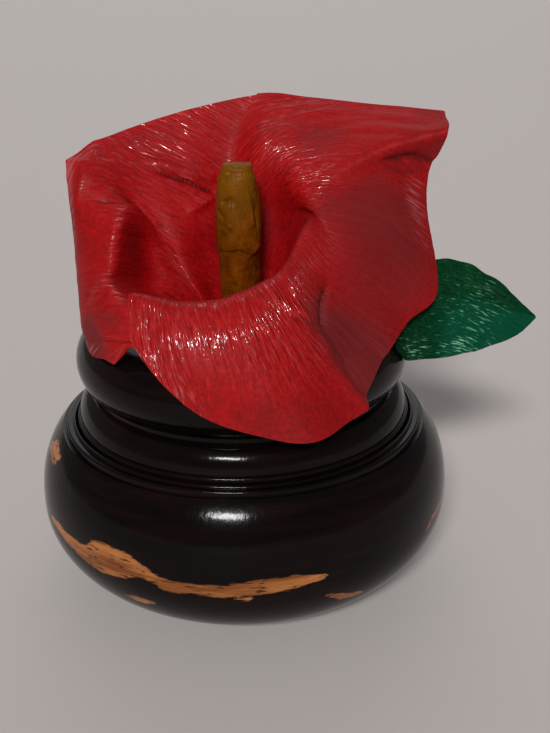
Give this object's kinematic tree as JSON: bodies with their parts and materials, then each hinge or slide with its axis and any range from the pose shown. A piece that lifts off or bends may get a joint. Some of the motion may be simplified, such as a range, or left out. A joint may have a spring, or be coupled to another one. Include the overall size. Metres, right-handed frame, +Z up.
{
  "type": "crepe paper calla lily in a turned wooden pot",
  "caption": "Calla lily folded from crepe paper with a rolled paper spadix and a paper leaf, resting on the rolled rim of a squat turned wooden pot.",
  "frame": {"origin": "centre of the pot's flat base", "axes": "+Z up along the pot's turning axis, +X to the right of the flower's open front, +Y towards its back seam"},
  "size_m": [0.1331, 0.11, 0.1232],
  "materials": {
    "dark_wood": "polished, near black with pale sapwood streaks",
    "red_crepe": "crinkled crepe with a glossy coat",
    "ochre_paper": "wrapped paper, half gloss",
    "green_crepe": "crinkled crepe with a glossy coat",
    "wrapped_wire": "paper-wrapped wire, matt"
  },
  "bodies": {
    "root": {"pot": "dark_wood", "spathe_left_half": "red_crepe", "spathe_right_half": "red_crepe", "spadix": "ochre_paper", "stem": "wrapped_wire", "leaf": "green_crepe", "leaf_stalk": "wrapped_wire"}
  },
  "joints": []
}
